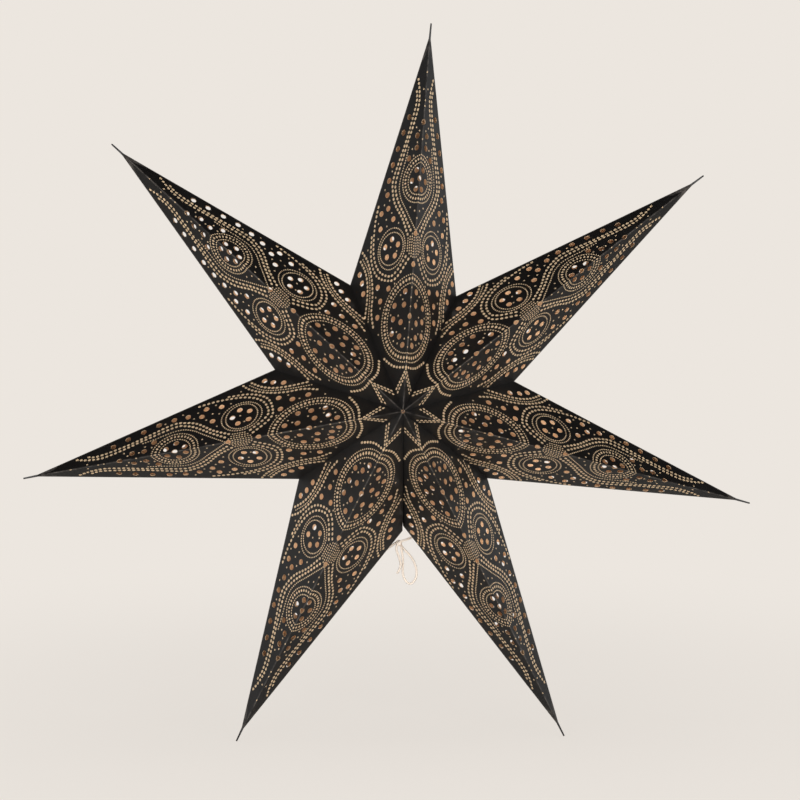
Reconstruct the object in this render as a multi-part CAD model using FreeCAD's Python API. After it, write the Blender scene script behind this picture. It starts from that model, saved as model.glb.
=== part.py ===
"""A seven-pointed paper star lantern: seven folded arms glued side by side, tied shut below.

Each arm is one creased sheet, open towards the middle of the star. Its four faces meet in
a ridge in front, a ridge behind and two side folds, and narrow flanges along its base are
glued to the next arm. Frame: millimetres, X to the right and Z up as seen from the front,
front towards -Y. The two lower tips are at Z = 0, and the star's middle plane is Y = 0.
"""
import math
import os

import FreeCAD
import Part

Vec = FreeCAD.Vector

# The star
HALF_DEPTH = 84.0          # from the middle plane to the point where the arms meet
SHEET = 0.4                # thickness of the card
FLANGE = 12.0              # width of the glued flanges
APEX_HOLE_R = 1.3          # the opening left where the seven corners meet
NIB = 8.0                  # length of the pinched end of a tip
NIB_SIZE = (1.8, 1.6)      # its width and depth where it leaves the arm
NIB_TAPER = 0.65           # the size of its end, as a share of that

# How far the cutting shapes reach past the card on each side, so that they cut it clean
PUNCH_REACH = 2.0
RIDGE_PUNCH_REACH = 4.0
WINDOW_REACH = 1.5
APEX_REACH = 4.0

# The arms, anticlockwise from the top: name, direction in degrees from +X, whole reach,
# then how far out the seam to the next arm reaches
ARMS = [
    ("arm_top", 84.7, 299.0, 100.1),
    ("arm_upper_left", 137.5, 300.6, 99.4),
    ("arm_left", 191.2, 298.9, 97.7),
    ("arm_lower_left", 244.7, 298.8, 100.2),
    ("arm_lower_right", 296.7, 302.4, 94.9),
    ("arm_right", 343.9, 296.9, 95.7),
    ("arm_upper_right", 396.3, 303.6, 97.1),
]

# The closing seam lies between the two lower arms, which stand a little apart there
CLOSING_SEAM = "arm_lower_left"
SEAM_TURN = 2.4            # how far it leans from the middle of its arms, in degrees
SEAM_OPENING = 0.3         # the angle between its two sides, in degrees
SEAM_STEP = 4.0            # how much further out the left arm's corner is

# The tie holes, in the rear faces beside the closing seam: distance along the face's ridge
# from the rear apex, then distance from the ridge
TIE_HOLE_R = 1.2
TIE_HOLES = {"arm_lower_left": (134.0, 54.6), "arm_lower_right": (119.4, 54.6)}

# Punched holes, in the flat sheet: distance along the ridge from the apex, then distance
# from the ridge. A face has an oval of holes near its apex and a ring of them further out.
HOLE_R = 2.5
HOLE_SIDES = 6             # six straight cuts stand for each round punch
REAR_SHIFT = 5.8           # how much further out the rear faces are punched than the front
OVAL_ROWS = [((59.5, 10.0), 12.2, 3), ((68.3, 18.4), 11.2, 2)]
RING_CENTRE = (131.4, 25.7)
RING_R = 7.6
RING_HOLES = 5
RIDGE_HOLES = [115.3, 184.0, 230.0]

# The tie string: routes from the hub, in the star's frame, then the knot
STRING_D = 1.8
STRING_SIDES = 6           # the string's section, as large as the round one
LEFT_ROUTE = [
    (-19.1, 5.9, -120.3), (-15.4, 9.6, -123.2), (-9.0, 10.6, -120.0), (-2.8, 9.8, -115.4),
    (3.2, 11.6, -111.8), (6.2, 12.2, -118.0), (11.6, 11.8, -123.0), (15.8, 11.6, -129.6),
    (17.6, 11.4, -137.0), (16.6, 11.2, -143.6), (12.2, 10.8, -147.4), (7.8, 10.4, -144.0),
    (5.8, 10.2, -137.6), (6.4, 10.0, -130.0), (5.9, 9.8, -122.5), (4.6, 9.4, -115.8),
]
RIGHT_ROUTE = [
    (19.6, 7.0, -104.5), (15.6, 10.2, -107.6), (9.4, 9.6, -110.8), (2.6, 8.4, -112.0),
    (0.2, 8.0, -117.4), (2.4, 8.0, -122.8), (4.3, 7.6, -129.2), (3.8, 7.4, -134.2),
    (1.3, 7.4, -137.6),
]
KNOT_CENTRE = (3.0, 10.2, -113.4)
KNOT_R = 3.4
KNOT_SIDES = 8
KNOT_RINGS = [(-0.8, 0.65), (0.0, 1.0), (0.8, 0.65)]  # heights and radii, as shares of it
BEND_SHARE = 0.45          # how much of its shorter run each bend of a string takes


def polar(degrees, reach):
    """A point at a direction and reach from the hub, in the star's middle plane."""
    angle = math.radians(degrees)
    return Vec(reach * math.cos(angle), 0.0, reach * math.sin(angle))


def unit(vector):
    """The vector at length one."""
    return vector * (1.0 / vector.Length)


def flat_face(corners):
    """A flat face through its corners."""
    return Part.Face(Part.makePolygon(corners + corners[:1]))


def outward(corners, middle):
    """The corners, turned so that their face looks away from the middle of the solid."""
    normal = (corners[1] - corners[0]).cross(corners[2] - corners[0])
    if normal.dot(corners[0] - middle) < 0.0:
        return corners[::-1]
    return corners


def convex_solid(faces):
    """A convex solid from its flat faces, each a list of corners."""
    points = [corner for face in faces for corner in face]
    middle = sum(points, Vec()) * (1.0 / len(points))
    shell = Part.makeShell([flat_face(outward(face, middle)) for face in faces])
    return Part.makeSolid(shell)


def inward_plate(corners, middle):
    """The layer of card just inside one face of a convex solid."""
    face = outward(corners, middle)
    normal = unit((face[1] - face[0]).cross(face[2] - face[0]))
    return flat_face(face).extrude(normal * -SHEET)


def face_frame(apex, tip, corner):
    """The apex, then unit steps along the ridge, away from it and out of a face."""
    along = unit(tip - apex)
    side = corner - apex
    across = unit(side - along * side.dot(along))
    normal = along.cross(across)
    if normal.dot(apex) < 0.0:
        normal = normal * -1.0
    return apex, along, across, normal


def regular_outline(centre, across, up, radius, sides):
    """The corners of a regular polygon in the plane of two unit steps."""
    corners = []
    for index in range(sides):
        angle = 2.0 * math.pi * index / sides
        step = across * math.cos(angle) + up * math.sin(angle)
        corners.append(centre + step * radius)
    return corners


def punch(centre, across, up, normal, radius=HOLE_R, cut_reach=PUNCH_REACH):
    """A punched hole's prism, through one thickness of card."""
    outline = regular_outline(centre - normal * cut_reach, across, up, radius, HOLE_SIDES)
    return flat_face(outline).extrude(normal * 2.0 * cut_reach)


def flat_holes():
    """Where one face is punched, in the flat sheet."""
    places = []
    for (along, across), step, count in OVAL_ROWS:
        places += [(along + step * index, across) for index in range(count)]
    for index in range(RING_HOLES):
        angle = 2.0 * math.pi * index / RING_HOLES
        along = RING_CENTRE[0] + RING_R * math.cos(angle)
        places.append((along, RING_CENTRE[1] + RING_R * math.sin(angle)))
    return places


def seam_window(front, rear, corner):
    """The opening in an arm's base beside one seam, inside its two flanges."""
    out = unit(corner)
    reach = corner.Length
    slant = math.hypot(HALF_DEPTH, reach)
    half_mouth = HALF_DEPTH - FLANGE * slant / reach
    point = out * (reach - FLANGE * slant / HALF_DEPTH)
    slope = half_mouth / point.Length
    back = out * (-2.0 * WINDOW_REACH)
    rise = Vec(0.0, half_mouth + slope * 2.0 * WINDOW_REACH, 0.0)
    outline = [back - rise, point, back + rise]
    normal = unit((rear - front).cross(out))
    start = [place - normal * WINDOW_REACH for place in outline]
    return flat_face(start).extrude(normal * 2.0 * WINDOW_REACH)


def nib(direction, tip_reach):
    """The pinched, tapered end of an arm's tip."""
    out = unit(polar(direction, 1.0))
    side = Vec(-out.z, 0.0, out.x)
    depth = Vec(0.0, 1.0, 0.0)
    rings = []
    for reach, scale in ((tip_reach - NIB, 1.0), (tip_reach + NIB, NIB_TAPER)):
        half_width = side * (NIB_SIZE[0] * 0.5 * scale)
        half_depth = depth * (NIB_SIZE[1] * 0.5 * scale)
        middle = out * reach
        ring = [middle - half_width - half_depth, middle + half_width - half_depth,
                middle + half_width + half_depth, middle - half_width + half_depth]
        rings.append(ring)
    base, end = rings
    sides = [[base[i], base[(i + 1) % 4], end[(i + 1) % 4], end[i]] for i in range(4)]
    return convex_solid([base, end] + sides)


def seam_corners(index):
    """An arm's two base corners: at the seam before it and at the seam after it."""
    corners = []
    for first in (index - 1, index):
        name, direction, _, reach = ARMS[first]
        following = ARMS[(first + 1) % len(ARMS)][1]
        gap = (following - direction) % 360.0
        turn = direction + gap / 2.0
        if name == CLOSING_SEAM:
            side = -1.0 if first == index else 1.0
            turn += SEAM_TURN + side * SEAM_OPENING / 2.0
            reach -= side * SEAM_STEP / 2.0
        corners.append(polar(turn, reach))
    return corners


def arm(index):
    """One folded arm: a hollow wedge of card with flanges, a nib and punched holes."""
    name, direction, reach, _ = ARMS[index]
    tip = polar(direction, reach - NIB)
    front = Vec(0.0, -HALF_DEPTH, 0.0)
    rear = Vec(0.0, HALF_DEPTH, 0.0)
    corners = seam_corners(index)
    faces = [[tip, apex, corner] for apex in (front, rear) for corner in corners]
    faces += [[front, rear, corner] for corner in corners]
    wedge = convex_solid(faces)
    middle = (tip + front + rear + corners[0] + corners[1]) * 0.2
    hollow = wedge
    for face in faces:
        hollow = hollow.cut(inward_plate(face, middle))
    body = wedge.cut(hollow)

    for corner in corners:
        body = body.cut(seam_window(front, rear, corner))
    for apex in (front, rear):
        start = apex - unit(apex) * APEX_REACH
        opening = Part.makeCylinder(APEX_HOLE_R, 2.0 * APEX_REACH, start, unit(apex))
        body = body.cut(opening)
    body = body.fuse(nib(direction, reach - NIB))

    tools = []
    for apex in (front, rear):
        normals = []
        shift = REAR_SHIFT if apex is rear else 0.0
        for corner in corners:
            origin, along, across, normal = face_frame(apex, tip, corner)
            normals.append(normal)
            for step_along, step_across in flat_holes():
                centre = origin + along * (step_along + shift) + across * step_across
                tools.append(punch(centre, along, across, normal))
        crest = unit(normals[0] + normals[1])
        flat = along.cross(crest)
        for step in RIDGE_HOLES:
            centre = apex + along * (step + shift)
            tools.append(punch(centre, along, flat, crest, cut_reach=RIDGE_PUNCH_REACH))
    if name in TIE_HOLES:
        corner = corners[1] if name == CLOSING_SEAM else corners[0]
        origin, along, across, normal = face_frame(rear, tip, corner)
        step_along, step_across = TIE_HOLES[name]
        centre = origin + along * step_along + across * step_across
        tools.append(punch(centre, along, across, normal, TIE_HOLE_R))
    return body.cut(tools).removeSplitter()


def string_tube(route):
    """A string along straight runs joined by tangent arcs, as a plain many-sided tube."""
    points = [Vec(*point) for point in route]
    area = math.pi * STRING_D ** 2 / 4.0
    size = math.sqrt(2.0 * area / (STRING_SIDES * math.sin(2.0 * math.pi / STRING_SIDES)))
    heading = unit(points[1] - points[0])
    across = unit(heading.cross(Vec(0.0, 1.0, 0.0)))
    up = across.cross(heading)
    section = flat_face(regular_outline(points[0], across, up, size, STRING_SIDES))
    stretches = []
    radii = []
    length = 0.0
    start = points[0]
    for before, corner, after in zip(points, points[1:], points[2:]):
        into = unit(corner - before)
        out = unit(after - corner)
        turn = into.getAngle(out)
        shorter = min((corner - before).Length, (after - corner).Length)
        setback = BEND_SHARE * shorter
        radius = setback / math.tan(turn / 2.0)
        step = corner - into * setback - start
        stretches.append(section.extrude(step))
        section.translate(step)
        axis = unit(into.cross(out))
        centre = start + step + axis.cross(into) * radius
        stretches.append(section.revolve(centre, axis, math.degrees(turn)))
        section.rotate(centre, axis, math.degrees(turn))
        length += step.Length + radius * turn
        radii.append(radius)
        start = corner + out * setback
    stretches.append(section.extrude(points[-1] - start))
    length += (points[-1] - start).Length
    tube = stretches[0].fuse(stretches[1:]).removeSplitter()
    print("string length %.1f, volume %.4f of expected, radii %s" % (
        length, tube.Volume / (length * area), " ".join("%.1f" % radius for radius in radii)))
    return tube


def knot(strings):
    """The knot: an eight-sided ball of string, with the two strings passing through."""
    centre = Vec(*KNOT_CENTRE)
    up = Vec(0.0, 0.0, 1.0)
    rings = []
    for height, width in KNOT_RINGS:
        middle = centre + up * (height * KNOT_R)
        rings.append(regular_outline(middle, Vec(1.0, 0.0, 0.0), Vec(0.0, 1.0, 0.0),
                                     width * KNOT_R, KNOT_SIDES))
    faces = [rings[0], rings[2]]
    for lower, upper in zip(rings, rings[1:]):
        for index in range(KNOT_SIDES):
            other = (index + 1) % KNOT_SIDES
            faces.append([lower[index], lower[other], upper[other], upper[index]])
    return convex_solid(faces).cut(strings)


def build():
    """Every node's shape, with the arms' box centred on X = 0 and standing on Z = 0."""
    shapes = {ARMS[index][0]: arm(index) for index in range(len(ARMS))}
    box = Part.makeCompound(list(shapes.values())).BoundBox
    place = Vec(-box.Center.x, 0.0, -box.ZMin)
    left = string_tube(LEFT_ROUTE)
    right = string_tube(RIGHT_ROUTE)
    shapes["tie_string_left"] = left
    shapes["tie_string_right"] = right
    shapes["tie_knot"] = knot([left, right])
    for shape in shapes.values():
        shape.translate(place)
    print("hub at x %.2f, z %.2f" % (place.x, place.z))
    return shapes


def main():
    """Write each node's solid to its own file."""
    os.makedirs("parts", exist_ok=True)
    for name, shape in build().items():
        solids = shape.Solids
        print(name, "solids", len(solids), "valid", shape.isValid(), "faces", len(shape.Faces))
        node = solids[0] if len(solids) == 1 else shape
        node.exportStep("parts/%s.step" % name)


main()
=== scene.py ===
"""A folded paper star lantern: punched black card, bronze dots and a cotton tie string."""
import math

import bpy
import numpy as np
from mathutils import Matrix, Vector


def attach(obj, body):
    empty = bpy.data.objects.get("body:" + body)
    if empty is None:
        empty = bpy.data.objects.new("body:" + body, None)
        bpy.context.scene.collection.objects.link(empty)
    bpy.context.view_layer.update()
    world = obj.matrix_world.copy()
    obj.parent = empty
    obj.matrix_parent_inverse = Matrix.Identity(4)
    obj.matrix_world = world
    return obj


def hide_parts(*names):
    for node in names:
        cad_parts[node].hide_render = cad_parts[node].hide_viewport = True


bl_info = {
    "name": "Folded paper star lantern",
    "version": (1, 0, 0),
    "blender": (4, 5, 0),
    "location": "View3D > Sidebar > Star lantern",
    "description": "Builds a seven-pointed star lantern of punched and printed card",
    "category": "Add Mesh",
}

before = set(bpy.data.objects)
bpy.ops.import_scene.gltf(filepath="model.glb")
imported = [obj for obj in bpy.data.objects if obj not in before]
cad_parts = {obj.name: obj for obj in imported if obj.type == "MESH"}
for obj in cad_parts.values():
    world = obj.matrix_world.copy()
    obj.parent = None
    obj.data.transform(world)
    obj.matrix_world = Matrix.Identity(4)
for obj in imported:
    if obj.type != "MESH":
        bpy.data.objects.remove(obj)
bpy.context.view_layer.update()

MM = 0.001

# The arms, as the frame has them: name, direction in degrees from +X, whole reach, then how
# far out the seam to the next arm reaches, in millimetres
ARMS = [
    ("arm_top", 84.7, 299.0, 100.1),
    ("arm_upper_left", 137.5, 300.6, 99.4),
    ("arm_left", 191.2, 298.9, 97.7),
    ("arm_lower_left", 244.7, 298.8, 100.2),
    ("arm_lower_right", 296.7, 302.4, 94.9),
    ("arm_right", 343.9, 296.9, 95.7),
    ("arm_upper_right", 396.3, 303.6, 97.1),
]
HALF_DEPTH = 84.0
NIB = 8.0
NIB_SIZE = (1.8, 1.6)
NIB_TAPER = 0.65
FLANGE = 12.0
CLOSING_SEAM = "arm_lower_left"
SEAM_TURN = 2.4
SEAM_OPENING = 0.3
SEAM_STEP = 4.0
HUB = (3.95, 0.0, 270.42)

# Punched holes in the flat sheet: distance along the ridge from the apex, distance from the
# ridge, in millimetres
RIDGE_HOLES = [74.4, 115.3, 140.0, 184.0, 230.0]
OVAL_HOLES = [
    (52.3, 6.0), (59.5, 10.2), (70.7, 9.7), (84.2, 7.3), (94.7, 7.0),
    (62.6, 18.7), (74.0, 18.3), (84.7, 17.8),
]
SHOULDER_HOLES = [(99.6, 26.0), (77.9, 36.6), (90.6, 34.6), (102.2, 38.6)]
NOTCH_HOLES = [(99.6, 55.1), (108.5, 57.5), (116.0, 61.0)]
TIP_RING_HOLES = [(176.0, 3.5), (183.5, 8.5), (191.5, 4.0)]
TIP_HOLES = [(202.7, 13.7), (210.0, 5.8), (220.0, 6.0)]
RING_CENTRE = (131.4, 25.7)
RING_R = 7.6
RING_HOLES = 5
EDGE_HOLES = [
    (149.6, 40.3), (155.5, 26.0), (162.3, 40.6), (165.3, 33.0), (176.9, 35.4), (188.5, 34.8),
    (200.9, 31.9), (213.2, 27.2), (225.7, 22.1), (237.3, 16.8),
]
# How much further out the rear faces are punched, in millimetres, and the arms whose rear is
# punched in line with the front
REAR_SHIFT = 5.8
ALIGNED_ARMS = ["arm_upper_left"]
APEX_HOLE_R = 1.6

# The blank that a face is cut from, and the cells it is cut into so that it can bow, in
# millimetres
BLANK_LENGTH = 306.0
BLANK_WIDTH = 90.0
BLANK_MARGIN = 5.0
CELL_LENGTH = 10
CELL_WIDTH = 8
CELLED_LENGTH = 300
CELLED_WIDTH = 80

# How far a face bows, in millimetres: the middle value, and how much faces differ from it.
# Then the ripple along it: its share of the bow, and the millimetres for each radian of it
BOW_MIDDLE = 0.33
BOW_SPREAD = 0.27
RIPPLE_SHARE = 0.5
RIPPLE_RADIAN = 19.0

# Points closer than this to the seam belong to it, in millimetres
SEAM_REACH = 0.02
# Points closer than this become one: in metres, and on the flat card in millimetres
WELD_REACH = 0.00002
FLAT_WELD_REACH = 0.001
NIB_EDGE = 0.3
# What the nib counts as its distance from a fold, so that it gets no pale fold band of rubbed
# coating and painted highlight
NIB_FOLD_DISTANCE = 3.0
SMOOTH_ANGLE = 25.0

TIE_HOLES = {"arm_lower_left": (134.0, 54.6), "arm_lower_right": (119.4, 54.6)}
TIE_HOLE_R = 1.2

# The tie string's routes from the hub, in millimetres, as the frame has them
LEFT_ROUTE = [
    (-19.1, 5.9, -120.3), (-15.4, 9.6, -123.2), (-9.0, 10.6, -120.0), (-2.8, 9.8, -115.4),
    (3.2, 11.6, -111.8), (6.2, 12.2, -118.0), (11.6, 11.8, -123.0), (15.8, 11.6, -129.6),
    (17.6, 11.4, -137.0), (16.6, 11.2, -143.6), (12.2, 10.8, -147.4), (7.8, 10.4, -144.0),
    (5.8, 10.2, -137.6), (6.4, 10.0, -130.0), (5.9, 9.8, -122.5), (4.6, 9.4, -115.8),
]
RIGHT_ROUTE = [
    (19.6, 7.0, -104.5), (15.6, 10.2, -107.6), (9.4, 9.6, -110.8), (2.6, 8.4, -112.0),
    (0.2, 8.0, -117.4), (2.4, 8.0, -122.8), (4.3, 7.6, -129.2), (3.8, 7.4, -134.2),
    (1.3, 7.4, -137.6),
]
STRING_D = 1.8
KNOT_CENTRE = (3.0, 10.2, -113.4)
# The knot's turns, as their tilt about X and about Y in degrees, and their two radii
KNOT_TURNS = [(15.0, 0.0), (-25.0, 60.0), (70.0, 20.0)]
KNOT_R = 1.6
KNOT_SECTION_R = 0.95

# Where the photograph was taken from, fitted for a lens that was chosen first
CAMERA_AZIMUTH = -3.59
CAMERA_ELEVATION = 4.38
CAMERA_DISTANCE = 1.585
CAMERA_AIM = (3.20, 0.0, 2.35)
CAMERA_LENS = 90.0

# How far out from the hub the light inside each arm is, in millimetres
INNER_REACH = 115.0
# How much stronger the one at the hub is
HUB_SHARE = 2.0
INNER_LIGHT_R = 0.012
# The lamps' places from the hub and their sizes, in metres
FRONT_LAMP = (0.8, -1.5, 0.1)
FRONT_LAMP_SIZE = 1.0
TOP_LAMP = (0.0, -0.1, 1.2)
TOP_LAMP_SIZE = 0.8
FLOOR_SIZE = 6.0
# Where the floor starts and ends passing into the plain backdrop colour, in metres from its
# middle, how much of it is plain at the start, and how bright that plain part is there
FLOOR_NEAR = 0.15
FLOOR_FAR = 0.9
FLOOR_PLAIN_SHARE = 0.72
FLOOR_PLAIN_LEVEL = 1.13
# What the studio's walls and ceiling look like in reflections, where 1 is white
WALL_LEVEL = 0.95
CEILING_LEVEL = 0.0
# How much light the ceiling gives, as a share of what the walls give
CEILING_SHARE = 0.15

# The printed dots: three sizes, as length along the row and width across it, in millimetres
BOLD = (2.8, 2.2)
DASH = (2.3, 1.8)
FINE = (1.5, 1.2)
STRAY = (1.6, 1.4)
DOT_SIDES = 6
INK_PROUD = 0.05
INK_SUNK = 0.12
# How far the middle of a dot keeps from side folds and seams, and from the apex, in
# millimetres, and the share of its length that it keeps from a punched hole
PRINT_MARGIN = 0.9
APEX_MARGIN = 5.0
HOLE_MARGIN_SHARE = 0.4

# Rows of dots along a smooth line through a few points of the flat sheet: size, spacing, points
LINE_ROWS = [
    (DASH, 2.9, [(33.0, 0.0), (24.6, 5.2), (16.2, 10.4)]),
    (DASH, 2.9, [(29.0, 0.0), (21.0, 4.5), (13.0, 8.6)]),
    (BOLD, 3.3, [(34.5, 0.0), (35.0, 7.5), (36.7, 14.0), (40.0, 20.0), (43.5, 25.0)]),
    (BOLD, 3.8, [(120.0, 6.0), (108.6, 16.0), (105.6, 25.0), (111.3, 40.2), (126.3, 48.6),
                 (144.5, 50.0)]),
    (BOLD, 3.8, [(122.5, 9.2), (112.5, 18.0), (109.3, 26.0), (115.5, 38.5), (130.0, 46.0),
                 (152.0, 47.4), (168.7, 45.0)]),
    (BOLD, 3.6, [(71.0, 40.8), (82.8, 44.0), (97.0, 44.0), (112.0, 46.8), (126.0, 53.0),
                 (133.5, 59.5)]),
    (FINE, 2.1, [(76.0, 47.0), (98.0, 47.2), (115.0, 50.2), (128.0, 58.5)]),
    (BOLD, 3.6, [(80.0, 51.0), (95.0, 50.0), (108.0, 51.2), (118.0, 55.0), (126.5, 61.0)]),
    (BOLD, 3.7, [(143.3, 5.8), (155.7, 13.3), (167.7, 21.3), (177.4, 25.7), (187.0, 26.4),
                 (211.0, 18.3), (229.3, 11.3), (244.3, 6.9), (256.0, 7.0), (267.0, 9.5)]),
    (BOLD, 3.7, [(140.3, 8.7), (154.2, 15.8), (167.4, 25.5), (178.7, 29.5), (190.0, 29.6),
                 (215.7, 19.2), (232.5, 13.5), (249.0, 9.5), (257.0, 10.3)]),
    (FINE, 2.1, [(143.0, 1.0), (160.0, 12.0), (172.0, 19.8), (184.0, 22.2), (203.0, 17.0),
                 (212.0, 14.8)]),
    (FINE, 2.2, [(121.0, 1.2), (141.0, 1.2)]),
    (FINE, 2.2, [(122.0, 3.4), (140.0, 3.4)]),
    (FINE, 2.2, [(124.5, 5.6), (138.0, 5.6)]),
    (FINE, 2.2, [(127.0, 7.8), (137.0, 7.8)]),
]

# Rows of dots round an oval: size, spacing, centre, half length along the ridge, half width.
# A turned row has its dots across the row
OVAL_ROWS = [
    (FINE, 2.3, (73.0, 0.0), 34.5, 31.0, False),
    (BOLD, 3.3, (73.0, 0.0), 31.2, 27.9, True),
    (FINE, 2.3, (73.0, 0.0), 27.5, 25.0, False),
    (FINE, 1.9, RING_CENTRE, 13.1, 13.1, False),
    (FINE, 2.1, RING_CENTRE, 16.7, 15.1, False),
    (FINE, 2.1, (184.0, 0.0), 19.3, 18.6, False),
    (DASH, 2.9, (184.0, 0.0), 16.2, 15.8, True),
    (FINE, 2.1, (184.0, 0.0), 13.0, 12.6, False),
]

# Single dots between the rows, most of them beside the punched holes
STRAY_DOTS = [
    (39.0, 0.0), (50.0, 0.0), (57.5, 0.0), (69.4, 0.0), (81.8, 0.0), (89.0, 0.0), (96.8, 0.0),
    (152.0, 0.0), (215.8, 0.0), (243.0, 0.0), (247.7, 0.0), (257.4, 2.6), (271.0, 0.0),
    (65.1, 4.6), (57.0, 4.3), (54.2, 11.8), (63.4, 13.6), (56.6, 16.2), (67.1, 19.5),
    (88.6, 9.1), (76.2, 12.9), (92.3, 11.8), (77.7, 21.5), (63.9, 34.0), (84.8, 34.1),
    (94.5, 40.0), (102.5, 19.4), (132.7, 26.5), (128.5, 19.5), (123.0, 28.5), (150.8, 33.0),
    (156.4, 34.3), (161.0, 28.5), (169.0, 38.0), (171.8, 32.3), (154.7, 43.3), (142.0, 42.0),
    (134.8, 53.5), (151.3, 19.6), (162.0, 8.0), (158.4, 3.0), (204.0, 8.7), (209.8, 10.7),
    (214.3, 5.5), (223.6, 4.0), (227.0, 7.6), (195.7, 32.0), (181.7, 38.8),
]


def linear(code):
    """The linear colour of an sRGB hex value."""
    channels = [int(code[i:i + 2], 16) / 255.0 for i in (1, 3, 5)]
    return [c / 12.92 if c <= 0.04045 else ((c + 0.055) / 1.055) ** 2.4 for c in channels]


class StarCardSettings(bpy.types.PropertyGroup):
    """The card that the arms are folded from."""
    thickness: bpy.props.FloatProperty(
        name="Thickness", description="Thickness of the card", default=0.0004,
        min=0.0001, unit="LENGTH")
    hole_radius: bpy.props.FloatProperty(
        name="Punch radius", description="Radius of the punched holes, in millimetres",
        default=2.35, min=0.5)
    face_colour: bpy.props.FloatVectorProperty(
        name="Face", description="Colour of the coated side", subtype="COLOR",
        default=linear("#141211"))
    back_colour: bpy.props.FloatVectorProperty(
        name="Back", description="Colour of the uncoated side", subtype="COLOR",
        default=linear("#C9AA88"))
    # Pale colour along the ridges and side folds: partly rubbed coating, partly a painted
    # highlight
    fold_wear_and_highlight_colour: bpy.props.FloatVectorProperty(
        name="Worn folds", description="Colour where the coating is rubbed off",
        subtype="COLOR", default=linear("#77706A"))


class StarInkSettings(bpy.types.PropertyGroup):
    """The bronze ink of the printed dots."""
    ink_colour: bpy.props.FloatVectorProperty(
        name="Ink", description="Colour of the bronze ink", subtype="COLOR",
        default=linear("#F8D9B0"))


class StarStringSettings(bpy.types.PropertyGroup):
    """The cotton string that ties the closing seam."""
    diameter: bpy.props.FloatProperty(
        name="Thickness", description="Thickness of the string", default=STRING_D * MM,
        min=0.0005, unit="LENGTH")
    string_colour: bpy.props.FloatVectorProperty(
        name="Cotton", description="Colour of the cotton", subtype="COLOR",
        default=linear("#FCEDDD"))


class StarStageSettings(bpy.types.PropertyGroup):
    """The studio round the star."""
    backdrop_colour: bpy.props.FloatVectorProperty(
        name="Backdrop", description="Colour of the floor and backdrop", subtype="COLOR",
        default=linear("#ECE6DF"))
    front_power: bpy.props.FloatProperty(
        name="Front lamps", description="Power of each large lamp in front", default=16.0,
        min=0.0, unit="POWER")
    top_power: bpy.props.FloatProperty(
        name="Top lamp", description="Power of the soft lamp overhead", default=2.5,
        min=0.0, unit="POWER")
    world_level: bpy.props.FloatProperty(
        name="Room light", description="Level of the light from the walls", default=0.85,
        min=0.0)
    inner_power: bpy.props.FloatProperty(
        name="Inner light", description="Power of the light inside each hollow arm",
        default=0.03, min=0.0, unit="POWER")


def add_node(material, kind, inputs=None, **settings):
    """One shader node, with its settings, and its inputs set or linked."""
    made = material.node_tree.nodes.new(kind)
    for name, value in settings.items():
        setattr(made, name, value)
    for name, value in (inputs or {}).items():
        socket = made.inputs[name]
        if isinstance(value, bpy.types.NodeSocket):
            material.node_tree.links.new(value, socket)
        else:
            socket.default_value = value
    return made


def new_material(name):
    """An empty material and its output node."""
    material = bpy.data.materials.new(name)
    material.use_nodes = True
    material.node_tree.nodes.clear()
    return material, material.node_tree.nodes.new("ShaderNodeOutputMaterial")


def colour4(colour):
    """A colour with an alpha of one."""
    return (*colour, 1.0)


def mottled(material, place, colour, scale, low, high):
    """A colour made a little darker and lighter by noise of one scale."""
    noise = add_node(material, "ShaderNodeTexNoise",
                     {"Vector": place, "Scale": scale, "Detail": 4.0, "Roughness": 0.6})
    tone = add_node(material, "ShaderNodeMapRange",
                    {"Value": noise.outputs["Fac"], "From Min": 0.3, "From Max": 0.7,
                     "To Min": low, "To Max": high})
    shade = add_node(material, "ShaderNodeMix",
                     {0: 1.0, 6: colour4(colour), 7: tone.outputs["Result"]},
                     data_type="RGBA", blend_type="MULTIPLY")
    return shade.outputs[2], noise.outputs["Fac"]


def finish_material(material, output, inputs, height, strength, distance):
    """The principled shader of a material, with its bump."""
    bump = add_node(material, "ShaderNodeBump",
                    {"Height": height, "Strength": strength, "Distance": distance})
    shader = add_node(material, "ShaderNodeBsdfPrincipled",
                      {**inputs, "Normal": bump.outputs["Normal"]})
    material.node_tree.links.new(shader.outputs["BSDF"], output.inputs["Surface"])
    return material


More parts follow.
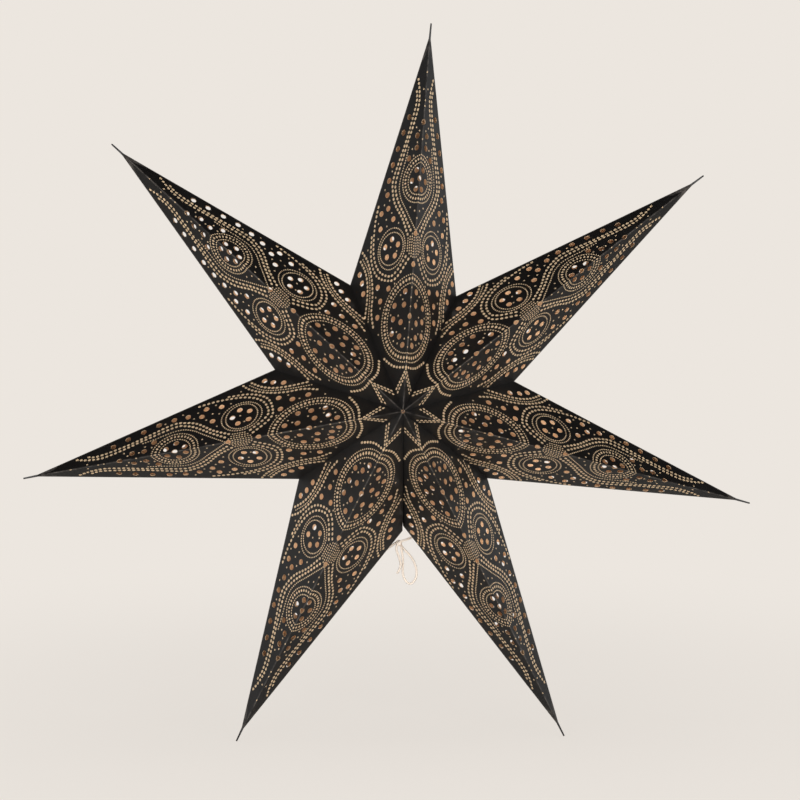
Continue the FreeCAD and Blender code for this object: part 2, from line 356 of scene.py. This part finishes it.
def coated_card():
    """Card printed solid black and matt coated: a soft sheen, with the fibres under it just
    showing as a fine mottle, and a pale band along the ridges and side folds that is partly the
    coating rubbed off and partly a painted highlight."""
    settings = bpy.context.scene.star_card
    material, output = new_material("coated_black_card")
    place = add_node(material, "ShaderNodeTexCoord").outputs["Object"]
    # Fibre clumps in card are about a millimetre across
    base, clumps = mottled(material, place, settings.face_colour, 900.0, 0.72, 1.3)
    # A pale band in patches along the ridges and side folds: partly rubbed coating, partly a
    # painted highlight where the folds would catch the light
    fold = add_node(material, "ShaderNodeAttribute", attribute_name="fold_mm")
    near = add_node(material, "ShaderNodeMapRange",
                    {"Value": fold.outputs["Fac"], "From Min": 0.1, "From Max": 1.2,
                     "To Min": 1.0, "To Max": 0.0})
    rubs = add_node(material, "ShaderNodeTexNoise",
                    {"Vector": place, "Scale": 150.0, "Detail": 5.0, "Roughness": 0.7})
    rubbed = add_node(material, "ShaderNodeMapRange",
                      {"Value": rubs.outputs["Fac"], "From Min": 0.4, "From Max": 0.66,
                       "To Min": 0.05, "To Max": 0.7})
    wear_and_highlight = add_node(material, "ShaderNodeMath",
                    {0: near.outputs["Result"], 1: rubbed.outputs["Result"]},
                    operation="MULTIPLY")
    colour = add_node(material, "ShaderNodeMix",
                      {0: wear_and_highlight.outputs["Value"], 6: base, 7: colour4(settings.fold_wear_and_highlight_colour)},
                      data_type="RGBA")
    # The sheen changes slowly where the card was handled, a few centimetres across
    clouds = add_node(material, "ShaderNodeTexNoise",
                      {"Vector": place, "Scale": 30.0, "Detail": 3.0})
    rough = add_node(material, "ShaderNodeMapRange",
                     {"Value": clouds.outputs["Fac"], "From Min": 0.35, "From Max": 0.65,
                      "To Min": 0.40, "To Max": 0.50})
    return finish_material(material, output, {
        "Base Color": colour.outputs[2], "Roughness": rough.outputs["Result"],
        "Specular IOR Level": 0.5}, clumps, 0.25, 0.0001)


def kraft_back():
    """The card's uncoated back, and its cut edges: warm tan, dull and a little fibrous."""
    settings = bpy.context.scene.star_card
    material, output = new_material("kraft_card_back")
    place = add_node(material, "ShaderNodeTexCoord").outputs["Object"]
    base, clumps = mottled(material, place, settings.back_colour, 700.0, 0.85, 1.12)
    return finish_material(material, output, {"Base Color": base, "Roughness": 0.9},
                           clumps, 0.3, 0.0001)


def bronze_ink():
    """Screen-printed bronze ink: fine metal flake in a clear binder, so part metallic."""
    settings = bpy.context.scene.star_ink
    material, output = new_material("bronze_ink")
    place = add_node(material, "ShaderNodeTexCoord").outputs["Object"]
    # The ink is thicker and thinner from dot to dot, every few millimetres
    base, flake = mottled(material, place, settings.ink_colour, 260.0, 0.72, 1.12)
    return finish_material(material, output, {
        "Base Color": base, "Metallic": 0.35, "Roughness": 0.42}, flake, 0.2, 0.00005)


def cotton():
    """Soft cotton: matt and a little fuzzy, without the twist of its yarn."""
    settings = bpy.context.scene.star_string
    material, output = new_material("twisted_cotton")
    place = add_node(material, "ShaderNodeTexCoord").outputs["Object"]
    base, fuzz = mottled(material, place, settings.string_colour, 1500.0, 0.85, 1.05)
    return finish_material(material, output, {
        "Base Color": base, "Roughness": 0.95, "Sheen Weight": 0.3}, fuzz, 0.2, 0.0001)


def deselect_all():
    """Nothing selected and nothing in edit mode."""
    if bpy.context.mode != "OBJECT":
        bpy.ops.object.mode_set(mode="OBJECT")
    bpy.ops.object.select_all(action="DESELECT")


def select(objects):
    """Only these objects selected, the first of them active."""
    deselect_all()
    for item in objects:
        item.select_set(True)
    bpy.context.view_layer.objects.active = objects[0]


def copied(source, name):
    """A copy of an object, with its own mesh."""
    twin = source.copy()
    twin.data = source.data.copy()
    twin.name = name
    bpy.context.collection.objects.link(twin)
    return twin


def joined(objects, name):
    """Objects joined into the first one."""
    select(objects)
    if len(objects) > 1:
        bpy.ops.object.join()
    objects[0].name = name
    objects[0].data.name = name
    return objects[0]


def apply_modifier(item, kind, **settings):
    """A modifier, with its settings, applied to a piece."""
    select([item])
    bpy.ops.object.modifier_add(type=kind)
    modifier = item.modifiers[-1]
    for name, value in settings.items():
        setattr(modifier, name, value)
    bpy.ops.object.modifier_apply(modifier=modifier.name)


def polar(degrees, reach):
    """A point at a direction and reach from the hub, in the star's middle plane."""
    angle = math.radians(degrees)
    return Vector((reach * math.cos(angle), 0.0, reach * math.sin(angle)))


def from_hub(point):
    """A point given from the hub in millimetres, in the frame in metres."""
    return (Vector(point) + Vector(HUB)) * MM


def seam_corners(index):
    """An arm's two base corners: at the seam before it and at the seam after it."""
    corners = []
    for first in (index - 1, index):
        name, direction, _, reach = ARMS[first]
        following = ARMS[(first + 1) % len(ARMS)][1]
        turn = direction + (following - direction) % 360.0 / 2.0
        if name == CLOSING_SEAM:
            side = -1.0 if first == index else 1.0
            turn += SEAM_TURN + side * SEAM_OPENING / 2.0
            reach -= side * SEAM_STEP / 2.0
        corners.append(polar(turn, reach))
    return corners


class Face:
    """One face of an arm: where the places of its flat sheet lie in the folded star."""

    def __init__(self, arm, side, end, corner):
        """arm is the arm's number; side and end say which of its four faces this is."""
        _, direction, reach, _ = ARMS[arm]
        self.apex = Vector((0.0, end * HALF_DEPTH, 0.0))
        self.corner = corner
        ridge = polar(direction, reach - NIB) - self.apex
        self.length = ridge.length
        self.along = ridge.normalized()
        edge = corner - self.apex
        self.corner_along = edge.dot(self.along)
        away = edge - self.along * self.corner_along
        self.corner_across = away.length
        self.across = away.normalized()
        self.normal = self.along.cross(self.across)
        self.mirrored = self.normal.dot(self.apex) < 0.0
        if self.mirrored:
            self.normal = -self.normal
        # Each face bows by its own amount
        turn = math.sin(2.3 * arm + 1.7 * side + 0.9 * end)
        self.bow = BOW_MIDDLE + BOW_SPREAD * turn
        self.phase = 1.3 * arm + 0.7 * side

    def bulge(self, along, across):
        """How far the bowed face stands off its flat plane, nothing along its edges."""
        near_corner = across / self.corner_across
        near_tip = (along - near_corner * self.corner_along) / self.length
        near_apex = 1.0 - near_corner - near_tip
        # The three shares are a third each in the middle of the face, so this is 1 there
        inside = 27.0 * np.clip(near_corner, 0, 1) * np.clip(near_tip, 0, 1)
        inside = inside * np.clip(near_apex, 0, 1)
        ripple = 1.0 + RIPPLE_SHARE * np.sin(along / RIPPLE_RADIAN + self.phase)
        return self.bow * inside * ripple

    def place(self, along, across, height=0.0):
        """Points of the flat sheet, in the frame in metres."""
        lift = self.bulge(along, across) + height
        points = np.outer(along, self.along) + np.outer(across, self.across)
        points += np.outer(lift, self.normal)
        return (points + np.array(self.apex) + np.array(HUB)) * MM

    def edge_distances(self, along, across):
        """Distances from the ridge, the side fold and the seam, positive inside."""
        side = Vector((self.length - self.corner_along, -self.corner_across)).normalized()
        fold = (self.length - along) * -side.y - across * side.x
        seam = Vector((self.corner_along, self.corner_across)).normalized()
        return across, fold, along * seam.y - across * seam.x


def punched_as_front(index, face):
    """Whether a face has its holes and print where the front faces have them."""
    return face.apex.y < 0.0 or ARMS[index][0] in ALIGNED_ARMS


def arm_faces(index):
    """The four faces of one arm: before and after it, front and rear."""
    corners = seam_corners(index)
    return [Face(index, side, end, corners[side]) for side in (0, 1) for end in (-1, 1)]


def flat_holes(shift=0.0):
    """Every punched hole of one face, in the flat sheet, moved outward by a shift."""
    places = [(along, 0.0) for along in RIDGE_HOLES]
    places += OVAL_HOLES + SHOULDER_HOLES + NOTCH_HOLES + TIP_RING_HOLES + TIP_HOLES
    places += EDGE_HOLES
    for index in range(RING_HOLES):
        angle = 2.0 * math.pi * index / RING_HOLES
        along = RING_CENTRE[0] + RING_R * math.cos(angle)
        places.append((along, RING_CENTRE[1] + RING_R * math.sin(angle)))
    return [(along + shift, across) for along, across in places]


def cut_card(plane_point, plane_normal):
    """Cuts the whole card along a line; nothing is removed."""
    bpy.ops.mesh.select_all(action="SELECT")
    bpy.ops.mesh.bisect(plane_co=plane_point, plane_no=plane_normal)


def trim_card(plane_point, plane_normal):
    """Cuts off what lies beyond a line."""
    bpy.ops.mesh.select_all(action="SELECT")
    bpy.ops.mesh.bisect(plane_co=plane_point, plane_no=Vector(plane_normal).normalized(),
                        clear_outer=True)


def flat_card(name, shift=0.0, extra_holes=()):
    """A card laid flat, in millimetres: larger than any face, punched all over, and cut
    into small cells so that it can bow."""
    radius = bpy.context.scene.star_card.hole_radius
    deselect_all()
    bpy.ops.curve.primitive_bezier_circle_add(radius=1.0)
    outline = bpy.context.object
    ends = ((BLANK_LENGTH, BLANK_WIDTH), (-BLANK_MARGIN, BLANK_WIDTH),
            (-BLANK_MARGIN, -BLANK_MARGIN), (BLANK_LENGTH, -BLANK_MARGIN))
    for point, (along, across) in zip(outline.data.splines[0].bezier_points, ends):
        point.handle_left_type = "VECTOR"
        point.handle_right_type = "VECTOR"
        point.co = (along, across, 0.0)
    outline.data.splines[0].resolution_u = 1
    loops = [outline]
    holes = [(along, across, radius) for along, across in flat_holes(shift)]
    holes += [(0.0, 0.0, APEX_HOLE_R), *extra_holes]
    for along, across, size in holes:
        bpy.ops.curve.primitive_bezier_circle_add(radius=size, location=(along, across, 0.0))
        hole = bpy.context.object
        hole.data.splines[0].resolution_u = 4 if size > 2.0 else 3
        loops.append(hole)
    card = joined(loops, name)
    card.data.dimensions = "2D"
    card.data.fill_mode = "FRONT"
    bpy.ops.object.convert(target="MESH")
    card = bpy.context.object
    bpy.ops.object.mode_set(mode="EDIT")
    trim_card((0.0, 0.0, 0.0), (0.0, -1.0, 0.0))
    for along in range(CELL_LENGTH, CELLED_LENGTH, CELL_LENGTH):
        cut_card((along, 0.0, 0.0), (1.0, 0.0, 0.0))
    for across in range(CELL_WIDTH, CELLED_WIDTH, CELL_WIDTH):
        cut_card((0.0, across, 0.0), (0.0, 1.0, 0.0))
    bpy.ops.mesh.select_all(action="SELECT")
    bpy.ops.mesh.remove_doubles(threshold=FLAT_WELD_REACH)
    bpy.ops.object.mode_set(mode="OBJECT")
    return card


def folded_face(template, face, name):
    """A copy of the flat card, trimmed to one face and folded to its place."""
    card = copied(template, name)
    select([card])
    bpy.ops.object.mode_set(mode="EDIT")
    seam = Vector((face.corner_along, face.corner_across, 0.0))
    trim_card((0.0, 0.0, 0.0), (-seam.y, seam.x, 0.0))
    side = seam - Vector((face.length, 0.0, 0.0))
    trim_card((face.length, 0.0, 0.0), (side.y, -side.x, 0.0))
    if face.mirrored:
        bpy.ops.mesh.select_all(action="SELECT")
        bpy.ops.mesh.flip_normals()
    bpy.ops.object.mode_set(mode="OBJECT")

    mesh = card.data
    flat = np.empty(len(mesh.vertices) * 3)
    mesh.vertices.foreach_get("co", flat)
    flat = flat.reshape(-1, 3)
    along, across = flat[:, 0], flat[:, 1]
    ridge, fold, _ = face.edge_distances(along, across)
    # Distance to the ridge or side fold, for the pale band of rubbed coating and painted
    # highlight
    nearest = mesh.attributes.new("fold_mm", "FLOAT", "POINT")
    nearest.data.foreach_set("value", np.minimum(ridge, fold))
    mesh.vertices.foreach_set("co", face.place(along, across).ravel())
    mesh.update()
    return card


def glued_flange(card, face):
    """Extrudes a folded face's edge along the seam into the flange glued to the next arm."""
    select([card])
    mesh = card.data
    out = face.corner.normalized()
    reach = face.corner.length
    slant = math.hypot(HALF_DEPTH, reach)
    mouth = HALF_DEPTH - FLANGE * slant / reach
    apex = face.apex
    inner_start = Vector((0.0, math.copysign(mouth, apex.y), 0.0))
    inner_end = out * (reach - FLANGE * slant / HALF_DEPTH)
    seam = face.corner - apex

    def share(vertex):
        """How far along the seam a point lies, and how far off it."""
        away = vertex.co / MM - Vector(HUB) - apex
        part = away.dot(seam) / seam.length_squared
        return part, (away - seam * part).length

    for vertex in mesh.vertices:
        vertex.select = share(vertex)[1] < SEAM_REACH
    kept = {vertex.index for vertex in mesh.vertices if vertex.select}
    for edge in mesh.edges:
        edge.select = edge.vertices[0] in kept and edge.vertices[1] in kept
    for polygon in mesh.polygons:
        polygon.select = False
    before = len(mesh.vertices)
    bpy.ops.object.mode_set(mode="EDIT")
    bpy.ops.mesh.extrude_edges_move()
    bpy.ops.object.mode_set(mode="OBJECT")
    mesh = card.data
    for vertex in mesh.vertices[before:]:
        part = share(vertex)[0]
        place = inner_start.lerp(inner_end, part)
        vertex.co = (place + Vector(HUB)) * MM
    return card


def pinched_nib(index):
    """The pinched, tapered end of an arm's tip."""
    _, direction, reach, _ = ARMS[index]
    start = reach - 2.0 * NIB
    bpy.ops.mesh.primitive_cube_add(size=1.0, location=(0.5, 0.0, 0.0))
    nib = bpy.context.object
    select([nib])
    bpy.ops.object.transform_apply(location=True, rotation=False, scale=False)
    bpy.ops.object.mode_set(mode="EDIT")
    bpy.ops.mesh.select_all(action="DESELECT")
    bpy.ops.object.mode_set(mode="OBJECT")
    for vertex in nib.data.vertices:
        vertex.select = vertex.co.x > 0.5
    bpy.ops.object.mode_set(mode="EDIT")
    bpy.ops.transform.resize(value=(1.0, NIB_TAPER, NIB_TAPER))
    bpy.ops.object.mode_set(mode="OBJECT")
    angle = math.radians(direction)
    nib.scale = (2.0 * NIB * MM, NIB_SIZE[1] * MM, NIB_SIZE[0] * MM)
    nib.rotation_euler = (0.0, -angle, 0.0)
    nib.location = from_hub(polar(direction, start))
    bpy.ops.object.transform_apply(location=True, rotation=True, scale=True)
    apply_modifier(nib, "BEVEL", width=NIB_EDGE * MM, segments=2)
    nib_fold_gap = nib.data.attributes.new("fold_mm", "FLOAT", "POINT")
    nib_fold_gap.data.foreach_set("value", np.full(len(nib.data.vertices), NIB_FOLD_DISTANCE))
    return nib


def folded_arm(index, front, rear, tied, materials):
    """One arm: four folded faces with their flanges, made solid, and its pinched nib. The
    cards they are cut from are the front one, the rear one and those with a tie hole."""
    settings = bpy.context.scene.star_card
    name = ARMS[index][0]
    cards = []
    for number, face in enumerate(arm_faces(index)):
        tie_side = 1 if name == CLOSING_SEAM else 0
        template = front if punched_as_front(index, face) else rear
        if template is rear and name in tied and number // 2 == tie_side:
            template = tied[name]
        cards.append(glued_flange(folded_face(template, face, "face"), face))
    arm = joined(cards, name + "_card")
    select([arm])
    bpy.ops.object.mode_set(mode="EDIT")
    bpy.ops.mesh.select_all(action="SELECT")
    bpy.ops.mesh.remove_doubles(threshold=WELD_REACH)
    bpy.ops.object.mode_set(mode="OBJECT")
    for material in materials:
        arm.data.materials.append(material)
    apply_modifier(arm, "SOLIDIFY", thickness=settings.thickness, offset=-1.0,
                   use_even_offset=True, material_offset=1, material_offset_rim=1)
    nib = pinched_nib(index)
    nib.data.materials.append(materials[0])
    arm = joined([arm, nib], name + "_card")
    bpy.ops.object.shade_smooth_by_angle(angle=math.radians(SMOOTH_ANGLE))
    return arm


def finished(item, material, nodes):
    """A finished piece: its material, its place in the frame and what it stands for."""
    if material:
        item.data.materials.append(material)
    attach(item, "root")
    if nodes:
        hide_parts(*nodes)
    return item


def smooth_line(points, spacing):
    """Evenly spaced places on a smooth line through points, with the line's headings."""
    knots = np.array([points[0], *points, points[-1]], float)
    steps = np.linspace(0.0, 1.0, 40, endpoint=False)[:, None]
    dense = []
    for before, start, end, after in zip(knots, knots[1:], knots[2:], knots[3:]):
        dense.append(0.5 * (2.0 * start + (end - before) * steps
                            + (2.0 * before - 5.0 * start + 4.0 * end - after) * steps ** 2
                            + (3.0 * start - before - 3.0 * end + after) * steps ** 3))
    return even_places(np.vstack([*dense, knots[-1:]]), spacing)


def oval_line(centre, half_length, half_width, spacing):
    """Evenly spaced places round an oval, from its outer end. Where it is centred on the
    ridge, only round the half that one face holds."""
    angle = np.linspace(0.0, 2.0 * math.pi, 361)
    line = np.column_stack([centre[0] + half_length * np.cos(angle),
                            centre[1] + half_width * np.sin(angle)])
    if centre[1] == 0.0:
        line = line[:181]
    return even_places(line, spacing)


def even_places(line, spacing):
    """Places at an even spacing along a dense line, and the headings there."""
    runs = np.hypot(*np.diff(line, axis=0).T)
    reach = np.concatenate([[0.0], np.cumsum(runs)])
    count = max(2, round(reach[-1] / spacing) + 1)
    at = np.linspace(0.0, reach[-1], count)
    place = np.column_stack([np.interp(at, reach, line[:, 0]),
                             np.interp(at, reach, line[:, 1])])
    ahead = np.column_stack([np.interp(at + 0.2, reach, line[:, 0]),
                             np.interp(at + 0.2, reach, line[:, 1])])
    behind = np.column_stack([np.interp(at - 0.2, reach, line[:, 0]),
                              np.interp(at - 0.2, reach, line[:, 1])])
    heading = np.arctan2(*(ahead - behind).T[::-1])
    return place, heading


def printed_dots():
    """Every dot of one flat face: along, across, heading, length and width, as one table."""
    rows = []

    def add(place, heading, size):
        length = np.full(len(place), size[0])
        rows.append(np.column_stack([place, heading, length, np.full(len(place), size[1])]))

    for size, spacing, points in LINE_ROWS:
        place, heading = smooth_line(points, spacing)
        add(place, heading, size)
    for size, spacing, centre, half_length, half_width, turned in OVAL_ROWS:
        place, heading = oval_line(centre, half_length, half_width, spacing)
        add(place, heading + (math.pi / 2.0 if turned else 0.0), size)
    add(np.array(STRAY_DOTS), np.zeros(len(STRAY_DOTS)), STRAY)
    dots = np.vstack(rows)

    # A punch takes away the dots that it meets
    radius = bpy.context.scene.star_card.hole_radius
    clear = np.hypot(dots[:, 0], dots[:, 1]) > APEX_MARGIN
    for along, across in flat_holes():
        away = np.hypot(dots[:, 0] - along, dots[:, 1] - across)
        clear &= away > radius + HOLE_MARGIN_SHARE * dots[:, 3]
    return dots[clear]


def dot_shape():
    """The one dot that every print is stamped from: a thin hexagonal cake, top at Z = 0."""
    bpy.ops.mesh.primitive_circle_add(vertices=DOT_SIDES, radius=0.5, fill_type="NGON")
    dot = bpy.context.object
    bpy.ops.object.mode_set(mode="EDIT")
    bpy.ops.mesh.select_all(action="SELECT")
    bpy.ops.mesh.extrude_region_move(TRANSFORM_OT_translate={"value": (0.0, 0.0, -1.0)})
    bpy.ops.mesh.select_all(action="SELECT")
    bpy.ops.mesh.normals_make_consistent(inside=False)
    bpy.ops.object.mode_set(mode="OBJECT")
    return dot


def stamped_arm(index, dot, dots):
    """The print of one arm: the dot stamped at each place that its four faces hold."""
    shape = np.empty(len(dot.data.vertices) * 3)
    dot.data.vertices.foreach_get("co", shape)
    shape = shape.reshape(-1, 3)
    loops = [list(polygon.vertices) for polygon in dot.data.polygons]
    corners = []
    polygons = []
    count = 0
    for face in arm_faces(index):
        shift = 0.0 if punched_as_front(index, face) else REAR_SHIFT
        _, fold, seam = face.edge_distances(dots[:, 0] + shift, dots[:, 1])
        held = dots[(fold > PRINT_MARGIN) & (seam > PRINT_MARGIN)]
        held = held + (shift, 0.0, 0.0, 0.0, 0.0)
        along, across, heading, length, width = (column[:, None] for column in held.T)
        step_x = shape[:, 0] * length
        step_y = shape[:, 1] * width
        flat_along = along + step_x * np.cos(heading) - step_y * np.sin(heading)
        flat_across = across + step_x * np.sin(heading) + step_y * np.cos(heading)
        # A dot on the ridge is folded over it, half on each face
        flat_across = np.maximum(flat_across, 0.0)
        height = np.where(shape[:, 2] < -0.5, -INK_SUNK, INK_PROUD) + 0.0 * length
        corners.append(face.place(flat_along.ravel(), flat_across.ravel(), height.ravel()))
        for number in range(len(held)):
            first = count + number * len(shape)
            for loop in loops:
                turned = loop[::-1] if face.mirrored else loop
                polygons.append([first + vertex for vertex in turned])
        count += len(held) * len(shape)
    name = ARMS[index][0] + "_print"
    mesh = bpy.data.meshes.new(name)
    mesh.from_pydata(np.vstack(corners).tolist(), [], polygons)
    print_piece = bpy.data.objects.new(name, mesh)
    bpy.context.collection.objects.link(print_piece)
    return print_piece


def string_curve(name, route):
    """A string as a smooth curve along its route, as thick as the cotton."""
    deselect_all()
    bpy.ops.object.add(type="CURVE", enter_editmode=False)
    item = bpy.context.object
    item.name = name
    item.data.name = name
    item.data.dimensions = "3D"
    spline = item.data.splines.new("NURBS")
    spline.points.add(len(route) - 1)
    for point, place in zip(spline.points, route):
        point.co = (*from_hub(place), 1.0)
    spline.order_u = 3
    spline.use_endpoint_u = True
    spline.resolution_u = 8
    item.data.bevel_depth = bpy.context.scene.star_string.diameter / 2.0
    item.data.bevel_resolution = 3
    item.data.use_fill_caps = True
    return item


class OBJECT_OT_star_arms(bpy.types.Operator):
    """Fold the seven arms from punched card"""
    bl_idname = "object.star_arms"
    bl_label = "Fold arms"

    def execute(self, context):
        materials = [coated_card(), kraft_back()]
        front = flat_card("front_card")
        rear = flat_card("rear_card", REAR_SHIFT)
        tied = {name: flat_card("tied_card", REAR_SHIFT, [(*place, TIE_HOLE_R)])
                for name, place in TIE_HOLES.items()}
        for index, (name, *_) in enumerate(ARMS):
            arm = folded_arm(index, front, rear, tied, materials)
            finished(arm, None, [name])
        for template in (front, rear, *tied.values()):
            bpy.data.objects.remove(template)
        return {"FINISHED"}


class OBJECT_OT_star_print(bpy.types.Operator):
    """Print the bronze dots on the arms"""
    bl_idname = "object.star_print"
    bl_label = "Print dots"

    def execute(self, context):
        ink = bronze_ink()
        deselect_all()
        dot = dot_shape()
        dots = printed_dots()
        for index in range(len(ARMS)):
            finished(stamped_arm(index, dot, dots), ink, [])
        bpy.data.objects.remove(dot)
        return {"FINISHED"}


class OBJECT_OT_star_string(bpy.types.Operator):
    """Tie the closing seam with its cotton string"""
    bl_idname = "object.star_string"
    bl_label = "Tie string"

    def execute(self, context):
        material = cotton()
        left = finished(string_curve("string_left", LEFT_ROUTE), material,
                        ["tie_string_left"])
        right = finished(string_curve("string_right", RIGHT_ROUTE), material,
                         ["tie_string_right"])
        deselect_all()
        turns = []
        for tilt, turn in KNOT_TURNS:
            bpy.ops.mesh.primitive_torus_add(
                major_radius=KNOT_R * MM, minor_radius=KNOT_SECTION_R * MM, major_segments=24,
                minor_segments=10, location=from_hub(KNOT_CENTRE),
                rotation=(math.radians(tilt), math.radians(turn), 0.0))
            turns.append(bpy.context.object)
        wound = joined(turns, "string_knot")
        bpy.ops.object.transform_apply(location=True, rotation=True, scale=True)
        bpy.ops.object.shade_smooth()
        finished(wound, material, ["tie_knot"])
        return {"FINISHED"}


def floor_material(colour):
    """The floor: partly matt near the star, so that its shadow shows, passing into the plain
    backdrop colour further off, so that no line shows where the floor ends."""
    material, output = new_material("floor_paper")
    place = add_node(material, "ShaderNodeTexCoord").outputs["Object"]
    reach = add_node(material, "ShaderNodeVectorMath", {0: place}, operation="LENGTH")
    distance = {"Value": reach.outputs["Value"], "From Min": FLOOR_NEAR,
                "From Max": FLOOR_FAR}
    away = add_node(material, "ShaderNodeMapRange",
                    {**distance, "To Min": FLOOR_PLAIN_SHARE, "To Max": 1.0},
                    interpolation_type="SMOOTHSTEP")
    # What the matt part lacks in light near the star, the plain part makes up
    level = add_node(material, "ShaderNodeMapRange",
                     {**distance, "To Min": FLOOR_PLAIN_LEVEL, "To Max": 1.0},
                     interpolation_type="SMOOTHSTEP")
    path = add_node(material, "ShaderNodeLightPath")
    shown = add_node(material, "ShaderNodeMath",
                     {0: path.outputs["Is Camera Ray"], 1: away.outputs["Result"]},
                     operation="MULTIPLY")
    plain = add_node(material, "ShaderNodeEmission",
                     {"Color": colour4(colour), "Strength": level.outputs["Result"]})
    matt = add_node(material, "ShaderNodeBsdfDiffuse", {"Color": colour4(colour)})
    both = add_node(material, "ShaderNodeMixShader",
                    {0: shown.outputs["Value"], 1: matt.outputs["BSDF"],
                     2: plain.outputs["Emission"]})
    material.node_tree.links.new(both.outputs["Shader"], output.inputs["Surface"])
    return material


def studio_world(level, backdrop_colour):
    """Light from pale walls all round, with a darker ceiling over them. The camera sees the
    backdrop's own colour."""
    world = bpy.data.worlds.new("studio")
    world.use_nodes = True
    world.node_tree.nodes.clear()
    output = world.node_tree.nodes.new("ShaderNodeOutputWorld")
    direction = add_node(world, "ShaderNodeTexCoord").outputs["Generated"]
    parts = add_node(world, "ShaderNodeSeparateXYZ", {0: direction})
    rise = {"Value": parts.outputs["Z"], "From Min": 0.0, "From Max": 0.5}
    mirrored = add_node(world, "ShaderNodeMapRange",
                        {**rise, "To Min": WALL_LEVEL, "To Max": CEILING_LEVEL})
    lighting = add_node(world, "ShaderNodeMapRange",
                        {**rise, "To Min": level, "To Max": CEILING_SHARE * level})
    path = add_node(world, "ShaderNodeLightPath")
    strength = add_node(world, "ShaderNodeMix",
                        {0: path.outputs["Is Glossy Ray"], 2: lighting.outputs["Result"],
                         3: mirrored.outputs["Result"]}, data_type="FLOAT")
    light = add_node(world, "ShaderNodeBackground", {"Strength": strength.outputs[0]})
    seen = add_node(world, "ShaderNodeBackground", {"Color": colour4(backdrop_colour)})
    both = add_node(world, "ShaderNodeMixShader",
                    {0: path.outputs["Is Camera Ray"], 1: light.outputs["Background"],
                     2: seen.outputs["Background"]})
    world.node_tree.links.new(both.outputs["Shader"], output.inputs["Surface"])
    return world


def area_lamp(name, size, power, location, aim):
    """A square lamp that faces a point."""
    bpy.ops.object.light_add(type="AREA", location=location)
    lamp = bpy.context.object
    lamp.name = name
    lamp.data.name = name
    lamp.data.shape = "SQUARE"
    lamp.data.size = size
    lamp.data.energy = power
    lamp.rotation_euler = (Vector(aim) - Vector(location)).to_track_quat("-Z", "Y").to_euler()
    return lamp


class SCENE_OT_star_stage(bpy.types.Operator):
    """Set the studio: floor, lamps and the photograph's camera"""
    bl_idname = "scene.star_stage"
    bl_label = "Set stage"

    def execute(self, context):
        settings = context.scene.star_stage
        context.scene.view_settings.view_transform = "Standard"
        hub = Vector(HUB) * MM
        deselect_all()

        azimuth = math.radians(CAMERA_AZIMUTH)
        elevation = math.radians(CAMERA_ELEVATION)
        back = Vector((math.sin(azimuth) * math.cos(elevation),
                       -math.cos(azimuth) * math.cos(elevation), math.sin(elevation)))
        place = hub + back * CAMERA_DISTANCE
        aim = hub + Vector(CAMERA_AIM) * MM
        bpy.ops.object.camera_add(
            location=place, rotation=(aim - place).to_track_quat("-Z", "Y").to_euler())
        camera = context.object
        camera.data.lens = CAMERA_LENS
        camera.data.sensor_width = 36.0
        camera.data.dof.use_dof = False
        context.scene.camera = camera

        bpy.ops.mesh.primitive_plane_add(size=FLOOR_SIZE, location=(0.0, 0.0, 0.0))
        floor = context.object
        floor.name = "floor"
        floor.data.materials.append(floor_material(settings.backdrop_colour))

        for side in (-1.0, 1.0):
            away = Vector((FRONT_LAMP[0] * side, FRONT_LAMP[1], FRONT_LAMP[2]))
            area_lamp("front_lamp", FRONT_LAMP_SIZE, settings.front_power, hub + away, hub)
        top = area_lamp("top_lamp", TOP_LAMP_SIZE, settings.top_power,
                        hub + Vector(TOP_LAMP), hub)
        top.visible_glossy = False
        # These stand for light that comes in through the holes, and show the kraft inside
        inside = [hub] + [from_hub(polar(entry[1], INNER_REACH)) for entry in ARMS]
        for place, share in zip(inside, (HUB_SHARE, *[1.0] * len(ARMS))):
            bpy.ops.object.light_add(type="POINT", location=place)
            inner = context.object
            inner.name = "inner_light"
            inner.data.energy = settings.inner_power * share
            inner.data.shadow_soft_size = INNER_LIGHT_R
        context.scene.world = studio_world(settings.world_level, settings.backdrop_colour)
        return {"FINISHED"}


class VIEW3D_PT_star_lantern(bpy.types.Panel):
    """The steps that build the star lantern, with their settings"""
    bl_label = "Star lantern"
    bl_space_type = "VIEW_3D"
    bl_region_type = "UI"
    bl_category = "Star lantern"

    def draw(self, context):
        steps = [
            (OBJECT_OT_star_arms, context.scene.star_card),
            (OBJECT_OT_star_print, context.scene.star_ink),
            (OBJECT_OT_star_string, context.scene.star_string),
            (SCENE_OT_star_stage, context.scene.star_stage),
        ]
        for operator, settings in steps:
            box = self.layout.box()
            for name in settings.bl_rna.properties.keys():
                if name not in ("rna_type", "name"):
                    box.prop(settings, name)
            box.operator(operator.bl_idname)


SETTINGS = {
    "star_card": StarCardSettings,
    "star_ink": StarInkSettings,
    "star_string": StarStringSettings,
    "star_stage": StarStageSettings,
}
CLASSES = [*SETTINGS.values(), OBJECT_OT_star_arms, OBJECT_OT_star_print,
           OBJECT_OT_star_string, SCENE_OT_star_stage, VIEW3D_PT_star_lantern]


def register():
    """Adds the settings, operators and panel."""
    for item in CLASSES:
        bpy.utils.register_class(item)
    for name, item in SETTINGS.items():
        setattr(bpy.types.Scene, name, bpy.props.PointerProperty(type=item))


def unregister():
    """Takes them away again."""
    for name in SETTINGS:
        delattr(bpy.types.Scene, name)
    for item in reversed(CLASSES):
        bpy.utils.unregister_class(item)


def main():
    """Builds the lantern and its stage."""
    register()
    bpy.ops.scene.star_stage()
    bpy.ops.object.star_string()
    bpy.ops.object.star_arms()
    bpy.ops.object.star_print()


if __name__ == "__main__":
    main()
